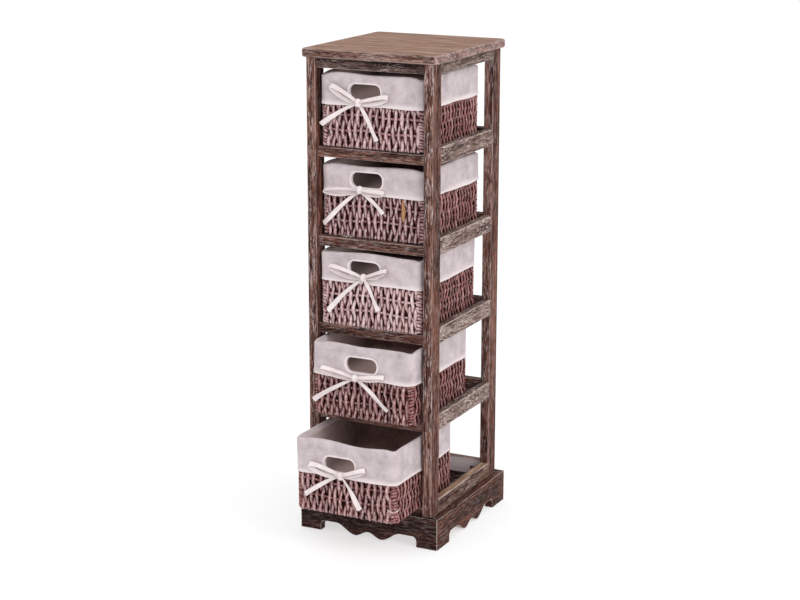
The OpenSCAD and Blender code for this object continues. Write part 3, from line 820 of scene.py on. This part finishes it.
def columns(tier):
    """Distances along the outline with columns on the slot's and the split's edges."""
    half = SIDE_A / 2
    knot_x = BOWS[tier]["knot"][0]
    split = (knot_x - SPLIT_HALF, knot_x + SPLIT_HALF)
    stops = (-half, SLOT_X[tier] - SLOT_HALF_W, *split, SLOT_X[tier] + SLOT_HALF_W, half)
    places = [np.array([0.0])]
    for low_x, high_x in zip(stops, stops[1:]):
        count = max(1, int(round((high_x - low_x) / COLUMN_W)))
        places.append(np.linspace(low_x, high_x, count + 1)[1:] + half)
    right_side = (CORNER_COLUMNS, SIDE_COLUMNS, CORNER_COLUMNS)
    start = SIDE_A
    for length, count in (*right_side, BACK_COLUMNS, *right_side):
        places.append(start + np.linspace(0, length, count + 1)[1:])
        start += length
    return np.concatenate(places)[:-1]


def slot_rows(tier):
    """Heights of the rows across the hand slot."""
    return np.linspace(SLOT_Z[tier] - SLOT_HALF_H, SLOT_Z[tier] + SLOT_HALF_H, SLOT_ROWS)


def at_front(s):
    """Which distances along the outline lie on its front."""
    return s < SIDE_A + TOLERANCE


def rings(s, profile, tier):
    """One ring round the outline for each offset and height, with the hand slot's corners rounded."""
    made = []
    for off, height in profile:
        ring = on_outline(s, off, height)
        slot_snap(ring, at_front(s), tier)
        made.append(ring)
    return made


def backing(soup, tier):
    """Thin sheet behind the strands, open at the hand slot; its near-black finish is painted shade in the
    gaps.
    """
    s = columns(tier)
    z = np.concatenate([BACK_ROWS, slot_rows(tier), [SLOT_Z[tier] + SLOT_HALF_H + 3.0]])
    keep = ~slot_cells(s, z, tier)
    for off in (BACK_OFF, BACK_OFF - BACK_T):
        points = np.array(rings(s, [(off, height) for height in z], tier))
        soup.grid(points, closed=True, keep=keep, material=INNER_FINISH, values=(0.3, 0.1, 0.5))


def woven_bottom(soup):
    """Bottom of the basket, with crossing strands as low relief."""
    x = np.linspace(-BOTTOM_HALF_W, BOTTOM_HALF_W, 96)
    y = np.linspace(-BOTTOM_HALF_D, BOTTOM_HALF_D, 76)
    gx, gy = np.meshgrid(x, y)
    wave = np.abs(np.sin(math.pi * gx / STRAND_PITCH / 2)) ** 0.6
    cross = np.cos(math.pi * gy / HOOP_PITCH + math.pi * np.floor(gx / STRAND_PITCH / 2))
    z = BOTTOM_Z - 0.9 * wave * (0.6 + 0.4 * cross)
    points = np.stack([gx, gy, z], -1)[::-1]
    # Painted shade in the hollows of the bottom's relief
    soup.grid(points, values=(0.5, np.clip(0.5 + 0.5 * wave, 0, 1)[::-1], 0.3))


# Linen liners
CLOTH_T = 0.9
RIM_OFF = -3.4
RIM_Z = 129.8
RIM_R = 3.5
RIM_ROWS = 9
RIM_REACH = 7
HEM_PROFILE = ((0.9, 0.0), (0.8, 1.2), (0.45, 5.0), (0.1, 5.8))
HEM_REACH = 5
SEAM_PROUD = 1.3
SEAM_HALF_W = 2.2
CORNER_REACH = 13
SLOT_REACH = 5
BAG_OFF = -7.4
BAG_LOW = 17.0
BAG_FOOT = ((BAG_OFF - 1.2, 11.5), (BAG_OFF - 4.5, 8.6))
FLOOR_Z = 7.9
FLOOR_SHARES = (0.72, 0.4, 0.12)
HEM_ROWS = 6
LIT_FADE = 32
SHADED_TIERS = (1, 2, 3)

# How far each rim rises, its wave and the wave's start, its corners' dip, and where its painted light
# begins
RIM_RISE = {1: 0.5, 2: 0.0, 3: 4.5, 4: 5.5, 5: 4.5}
RIM_WAVE = {1: (0.9, 0.1), 2: (1.2, 0.4), 3: (2.0, 0.8), 4: (1.4, 0.15), 5: (3.0, 0.05)}
CORNER_DIP = {1: 4.2, 2: 3.0, 3: 2.5, 4: 2.5, 5: 1.8}
LIT_BELOW = {1: 106, 2: 74, 3: 82, 4: 72, 5: 52}


def liner_rows(tier):
    """Offsets and heights from the hem over the rim to the floor, and the number of the rim's top row."""
    hem = HEM_Z[tier]
    slot = slot_rows(tier)
    rows = [(off, hem + rise) for off, rise in HEM_PROFILE]
    rows += [(0.0, z) for z in slot]
    rim_z = RIM_Z + RIM_RISE[tier]
    above = np.linspace(slot[-1], rim_z - 2.8, 3)[1:]
    rows += [(0.2, z) for z in above]
    rim_top = len(rows) + RIM_ROWS // 2
    arc = np.linspace(0.1, math.pi, RIM_ROWS)
    rows += [(RIM_OFF + RIM_R * math.cos(a), rim_z + RIM_R * math.sin(a)) for a in arc]
    rows.append((BAG_OFF, above[-1] - 1.0))
    rows += [(BAG_OFF, z) for z in slot[::-1]]
    rows += [(BAG_OFF, z) for z in np.linspace(slot[0], BAG_LOW, 7)[1:]]
    rows += BAG_FOOT
    return rows, rim_top


def fold_cloth(points, s, walls, rim_top, tier):
    """Swells the skirt and the bag out and in, except beside the hand slot."""
    x, y, height = points[..., 0], points[..., 1], points[..., 2]
    way = outline(s)[1]
    level = np.arange(len(points))[:, None]
    crease = ripple(300 + tier, 6, 35, 120, x, y, 0.7 * height)
    small = ripple(330 + tier, 8, 14, 30, x, y, height)
    is_skirt = np.clip((rim_top - level) / 3, 0, 1)
    is_bag = np.clip((level - rim_top - 2) / 3, 0, 1)
    skirt = np.maximum(0.75 * crease + 0.28 * small, -0.5)
    corner_s = np.minimum(np.abs(s - RIGHT_CORNER), np.abs(s - LEFT_CORNER))
    skirt = skirt + SEAM_PROUD * np.exp(-(corner_s / SEAM_HALF_W) ** 2)[None, :]
    skirt = skirt + CORNER_PUFF[tier] * np.exp(-((s - LEFT_CORNER) / CORNER_REACH) ** 2)[None, :]
    bag = np.minimum(1.1 * crease + 0.4 * small - 0.6, 0.4)
    beside = np.maximum(np.abs(x - SLOT_X[tier]) - SLOT_HALF_W, 0)
    beyond = np.maximum(np.abs(height - SLOT_Z[tier]) - SLOT_HALF_H, 0)
    still = np.exp(-(beside ** 2 + beyond ** 2) / SLOT_REACH ** 2) * at_front(s)[None, :]
    swell = (is_skirt * skirt + is_bag * bag) * (1 - still)
    points[:walls, :, 0] += (swell * way[None, :, 0])[:walls]
    points[:walls, :, 1] += (swell * way[None, :, 1])[:walls]


def wave_cloth(points, s, walls, tier):
    """Lets the rim sag between the corners, and waves the hem and the floor."""
    x, y, height = points[..., 0], points[..., 1], points[..., 2]
    level = np.arange(len(points))[:, None]
    rim = np.exp(-((height - BASKET_H - RIM_RISE[tier]) / RIM_REACH) ** 2)
    size, start = RIM_WAVE[tier]
    share = np.clip(s / SIDE_A, 0, 1)
    dip = size * np.sin(TAU * (share + start)) * at_front(s)
    dip *= np.sin(math.pi * share) ** 0.5
    from_corner = np.abs(np.mod(s - RIGHT_CORNER + OUTLINE / 4, OUTLINE / 2) - OUTLINE / 4)
    other_corner = np.abs(np.mod(s - LEFT_CORNER + OUTLINE / 4, OUTLINE / 2) - OUTLINE / 4)
    nearest = np.minimum(from_corner, other_corner)
    dip = dip - CORNER_DIP[tier] * np.exp(-(nearest / CORNER_REACH) ** 2)
    points[..., 2] += rim * (0.8 * ripple(360 + tier, 4, 70, 190, x, y) - 0.5 + dip[None, :])
    hem = np.exp(-((height - HEM_Z[tier]) / HEM_REACH) ** 2) * (level < HEM_ROWS)
    points[..., 2] += hem * 0.9 * ripple(390 + tier, 4, 50, 150, x, y)
    points[walls:, :, 2] += 0.5 * ripple(420 + tier, 5, 30, 90, x[walls:], y[walls:])


def cloth_cells(s, z, tier):
    """Which cells of the cloth stay: not the hand slot's, and not the split's under the knot."""
    mid = (z[:-1] + z[1:]) / 2
    x_mid = np.append((s[:-1] + s[1:]) / 2 - SIDE_A / 2, 1e3) - BOWS[tier]["knot"][0]
    low_rows = (mid < SLOT_Z[tier] - SLOT_HALF_H) & (np.arange(len(mid)) < HEM_ROWS)
    split = low_rows[:, None] & (np.abs(x_mid) < SPLIT_HALF)[None, :]
    return ~slot_cells(s, z, tier) & ~split


def close_floor(soup, s, first):
    """Closes the floor's smallest ring with quads from side to side; first is its first point's number."""
    middle = int(np.argmin(np.abs(s - SIDE_A / 2)))
    last = np.roll(np.arange(len(s)) + first, -middle).tolist()
    for k in range(len(s) // 2 - 1):
        soup.faces.append([last[k], last[k + 1], last[-2 - k], last[-1 - k]])
        soup.finishes.append(INNER_FINISH)


def liner(tier):
    """Sewn bag of linen, folded over the rim into a skirt."""
    rows, rim_top = liner_rows(tier)
    walls = len(rows)
    s = columns(tier)
    points = rings(s, rows, tier)
    for share in FLOOR_SHARES:
        ring = points[walls - 1] * share
        ring[:, 2] = FLOOR_Z
        points.append(ring)
    points = np.array(points)
    fold_cloth(points, s, walls, rim_top, tier)
    wave_cloth(points, s, walls, tier)

    total = len(points)
    rim_end = rim_top + RIM_ROWS // 2
    level = np.arange(total)[:, None]
    y, height = points[..., 1], points[..., 2]
    lining = INNER_FINISH * (level[:-1] > rim_end)
    # Painted light on the lining: paler and glowing towards the front and low down; on the skirt, a pale
    # hem band
    near_front = np.clip(0.5 - y / BASKET_D, 0, 1) ** 2
    low_down = 0.9 * np.clip((LIT_BELOW[tier] - height) / LIT_FADE, 0, 1)
    hem_band = np.clip((HEM_Z[tier] + 6.5 - height) / 2, 0, 1)
    painted_glow_and_pale_hem = np.where(level < rim_end, hem_band, np.maximum(near_front, low_down))
    heights = np.append([row[1] for row in rows], [FLOOR_Z] * len(FLOOR_SHARES))
    soup = Soup()
    keep = cloth_cells(s, heights, tier)
    soup.grid(points, closed=True, keep=keep, material=lining, values=(painted_glow_and_pale_hem, 1.0, 0.0))
    close_floor(soup, s, (total - 1) * len(s))
    inside = SHADED_LINING if tier in SHADED_TIERS else LINING
    piece = soup.build(tier, "linen", [LINEN, inside])
    solid = piece.modifiers.new("thickness", "SOLIDIFY")
    solid.thickness = CLOTH_T * MM
    solid.offset = 0.0
    soften(piece)
    return piece


# How far the bound edge lies outside the hand slot and in front of the basket, from the skirt to the bag
EDGE_PROFILE = (
    (3.4, -0.35), (3.2, 0.55), (2.2, 1.15), (0.9, 1.2), (0.0, 0.55), (-0.5, -0.8),
    (-0.5, -3.6), (-0.4, -6.6), (0.3, -8.2), (2.6, -8.3), (3.0, -7.4),
)
EDGE_CORNER_POINTS = 7


def slot_edge(tier):
    """Bound edge of the hand slot, wrapped from the skirt through to the inner bag."""
    corner = np.linspace(0, TAU / 4, EDGE_CORNER_POINTS)
    middle_x = SLOT_HALF_W - SLOT_R
    middle_z = SLOT_HALF_H - SLOT_R
    ring = []
    for k, (sx, sz) in enumerate(((1, 1), (-1, 1), (-1, -1), (1, -1))):
        for a in corner + k * TAU / 4:
            ring.append((sx * middle_x, sz * middle_z, math.cos(a), math.sin(a)))
    ring = np.array(ring)
    turn_s = np.arange(len(ring))
    rows = []
    for out, depth in EDGE_PROFILE:
        r = SLOT_R + out + 0.25 * ripple(450 + tier, 3, 9, 16, turn_s)
        x = SLOT_X[tier] + ring[:, 0] + r * ring[:, 2]
        z = SLOT_Z[tier] + ring[:, 1] + r * ring[:, 3]
        y = -BASKET_D / 2 - depth + 0.1 * ripple(480 + tier, 3, 6, 12, turn_s)
        rows.append(np.stack([x, y, z], -1))
    soup = Soup()
    soup.grid(np.array(rows)[::-1], closed=True)
    piece = soup.build(tier, "slot_edge", [EDGE_LINEN])
    soften(piece)
    return piece


# Ribbon, with its loops' opening and how far each faces the front, left and right
RIBBON_W = 10.4
RIBBON_T = 1.1
LOOP_OPEN = {1: (11.5, 10.0), 2: (13.0, 7.5), 3: (12.0, 7.0), 4: (11.0, 6.5), 5: (15.0, 7.0)}
LOOP_FACE = {1: (0.9, 0.9), 2: (0.5, 0.8), 3: (0.7, 0.75), 4: (0.65, 0.8), 5: (0.9, 0.9)}
LOOP_POINTS = 41
LOOP_PROUD = 4.8
LOOP_SAG = 2.0
TAIL_POINTS = 26
TAIL_ARCH = 7.0
KNOT_SIZE = (6.4, 4.2, 7.6)
FACE_Y = -BASKET_D / 2 - 0.9
FRONT_WAY = np.array([0, -1.0, 0])
RIBBON_SECTION = np.array([
    (-1, 0.0), (-0.97, 0.75), (-0.8, 1.0), (-0.35, 0.55), (0.35, 0.55), (0.8, 1.0),
    (0.97, 0.75), (1, 0.0), (0.9, -0.8), (0.3, -0.5), (-0.3, -0.5), (-0.9, -0.8),
])


def headings(path):
    """Unit ways along a path."""
    ahead = np.gradient(path, axis=0)
    return ahead / np.linalg.norm(ahead, axis=1)[:, None]


def ribbon(soup, path, width_way, half_w, tone):
    """Flat tape along a path, as wide as width_way says, with painted shade in its creases where the tone
    is high.
    """
    ahead = headings(path)
    width_way = width_way - (width_way * ahead).sum(1)[:, None] * ahead
    width_way /= np.linalg.norm(width_way, axis=1)[:, None]
    depth_way = np.cross(ahead, width_way)
    a = (half_w[:, None] * RIBBON_SECTION[None, :, 0])[..., None]
    b = np.broadcast_to(RIBBON_T / 2 * RIBBON_SECTION[None, :, 1], a.shape[:2])[..., None]
    points = path[:, None, :] + a * width_way[:, None, :] + b * depth_way[:, None, :]
    crease = np.abs(RIBBON_SECTION[:, 0]) < 0.5
    soup.grid(points, closed=True, values=(tone[:, None] * (0.6 + 0.4 * crease), 1.0, 0.0), caps=True)


def bow_loop(soup, knot, tip, opening, facing):
    """Loop of ribbon from the knot out to its tip and back."""
    reach = np.array([tip[0], FACE_Y, tip[1]]) - knot
    length = math.hypot(reach[0], reach[2])
    way = np.array([reach[0], 0, reach[2]]) / length
    across = np.array([-way[2], 0, way[0]]) * (1 if way[0] > 0 else -1)
    t = np.linspace(0, 1, LOOP_POINTS)
    rise = np.sin(math.pi * t)
    out = length * rise ** 0.8
    fan = opening * (1 - 2 * t) * rise ** 0.5
    path = knot + out[:, None] * way + fan[:, None] * across
    path[:, 1] = FACE_Y - LOOP_PROUD + 1.4 * np.tanh(14 * (t - 0.5))
    path[:, 2] -= LOOP_SAG * np.sin(math.pi * np.minimum(out / length, 1))
    width_way = facing * across + np.array([0, math.sqrt(1 - facing ** 2), 0])
    width_way = np.tile(width_way, (len(t), 1))
    half_w = RIBBON_W / 2 * (0.46 + 0.36 * rise ** 0.5)
    pinched = np.exp(-out / 14)
    # Painted shade near the knot and on the loop's back layer
    ribbon(soup, path, width_way, half_w, 0.5 * pinched + np.where(t > 0.5, 0.08, 0.0))


def bow_tail(soup, knot, tip, rng):
    """Loose end of ribbon that hangs from the knot."""
    end = np.array([tip[0], FACE_Y - 0.8, tip[1]])
    t = np.linspace(0, 1, TAIL_POINTS)
    middle = knot + (end - knot) * 0.5 + np.array([0, -2.5, TAIL_ARCH * rng.uniform(0.6, 1.2)])
    u = t[:, None]
    path = (1 - u) ** 2 * knot + 2 * u * (1 - u) * middle + u ** 2 * end
    path[:, 0] += 1.2 * np.sin(TAU * (t * 1.1 + rng.uniform(0, 1))) * t
    tilt = 0.45 * np.sin(TAU * (t * 0.9 + rng.uniform(0, 1)))
    width_way = np.cross(headings(path), FRONT_WAY) + tilt[:, None] * FRONT_WAY
    half_w = RIBBON_W / 2 * (0.5 + 0.5 * t)
    # Painted shade near the knot
    ribbon(soup, path, width_way, half_w, 0.35 * np.exp(-t * 4))


def bow_knot(soup, knot, tier):
    """Puckered knot in the middle of the bow."""
    around = np.linspace(0, TAU, 18, endpoint=False)
    half_w, half_d, half_h = KNOT_SIZE
    pinch = 1 + 0.10 * np.cos(3 * around + tier)
    rows = []
    for h in np.linspace(-1, 1, 11):
        r = math.sqrt(max(1 - abs(h) ** 2.6, 0.004))
        x = knot[0] + half_w * h * np.ones(len(around))
        y = knot[1] - 1.0 + half_d * r * pinch * np.cos(around)
        z = knot[2] + half_h * r * pinch * np.sin(around)
        rows.append(np.stack([x, y, z], -1))
    soup.grid(np.array(rows), closed=True, values=(0.0, 1.0, 0.0), caps=True)


def bow(tier):
    """Ribbon bow under the hand slot: two loops, two tails and a knot."""
    plan = BOWS[tier]
    rng = np.random.default_rng(500 + tier)
    knot = np.array([plan["knot"][0], FACE_Y - 2.0, plan["knot"][1]])
    soup = Soup()
    for key, opening, facing in zip(("left", "right"), LOOP_OPEN[tier], LOOP_FACE[tier]):
        bow_loop(soup, knot, plan[key], opening, facing)
    for key in ("tail_left", "tail_right"):
        bow_tail(soup, knot, plan[key], rng)
    bow_knot(soup, knot, tier)
    piece = soup.build(tier, "ribbon", [RIBBON])
    soften(piece)
    return piece


# The five baskets
WICKER = wicker_strands()
WICKER_GAP_SHADE = gap_shade_sheet()
STRAW = straw_strand()
LINEN = linen("linen", "cdc0c2", "a79a9c", "ddd0d1")
# Lining: linen darkened as painted shade inside the bag, with painted light and a painted glow towards the
# front and low down; the shaded copy is darker still for the baskets under the rails
LINING = linen("lining", "725e59", "523f3a", "d6c3bf", through=0.15)
SHADED_LINING = linen("lining_shaded", "3b2c29", "261a18", "d6c3bf", through=0.15)
EDGE_LINEN = linen("linen_edge", "e8dcdd", "cfc2c3")
# Ribbon: its near colour is painted shade in the creases and near the knot
RIBBON = linen("ribbon", "efe4e4", "d8cbcb", "95827f", threads=1200.0)

for tier in TIERS:
    body = "basket_%d" % tier
    soup = Soup()
    strands(soup, tier)
    hoops(soup, tier)
    corner_columns(soup, tier)
    if tier in LOOSE_STRAND:
        loose_strand(soup, LOOSE_STRAND[tier])
    backing(soup, tier)
    woven_bottom(soup)
    finishes = [WICKER, WICKER_GAP_SHADE, STRAW] if tier == STRAW_TIER else [WICKER, WICKER_GAP_SHADE]
    wicker = soup.build(tier, "wicker", finishes)
    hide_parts(body + "_weave")
    cloth = liner(tier)
    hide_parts(body + "_liner")
    edge = slot_edge(tier)
    tie = bow(tier)
    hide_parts(body + "_bow")


# Studio
FLOOR_HALF = 8.0
LIT_POINT = (0, 0, 0.5)
LIGHT_SIZE = 1.8


def area_light(name, place, power):
    """Round light that shines on the middle of the shelf."""
    data = bpy.data.lights.new(name, "AREA")
    data.shape = "DISK"
    data.size = LIGHT_SIZE
    data.energy = power
    lamp = bpy.data.objects.new(name, data)
    lamp.location = place
    lamp.rotation_mode = "QUATERNION"
    lamp.rotation_quaternion = (Vector(LIT_POINT) - Vector(place)).to_track_quat("-Z", "Y")
    bpy.context.scene.collection.objects.link(lamp)


floor_mesh = bpy.data.meshes.new("floor")
corners = [(x * FLOOR_HALF, y * FLOOR_HALF, 0) for x, y in ((-1, -1), (1, -1), (1, 1), (-1, 1))]
floor_mesh.from_pydata(corners, [], [(0, 1, 2, 3)])
floor_mesh.materials.append(studio_floor())
floor = bpy.data.objects.new("floor", floor_mesh)
bpy.context.scene.collection.objects.link(floor)
world = bpy.data.worlds.new("studio")
world.use_nodes = True
background = world.node_tree.nodes["Background"]
background.inputs["Color"].default_value = (1, 1, 1, 1)
background.inputs["Strength"].default_value = 1.0
bpy.context.scene.world = world
area_light("key", (0.2, -2.8, 3.0), 14)
area_light("fill", (2.9, -0.9, 2.0), 28)

bpy.context.scene.view_settings.view_transform = "Standard"
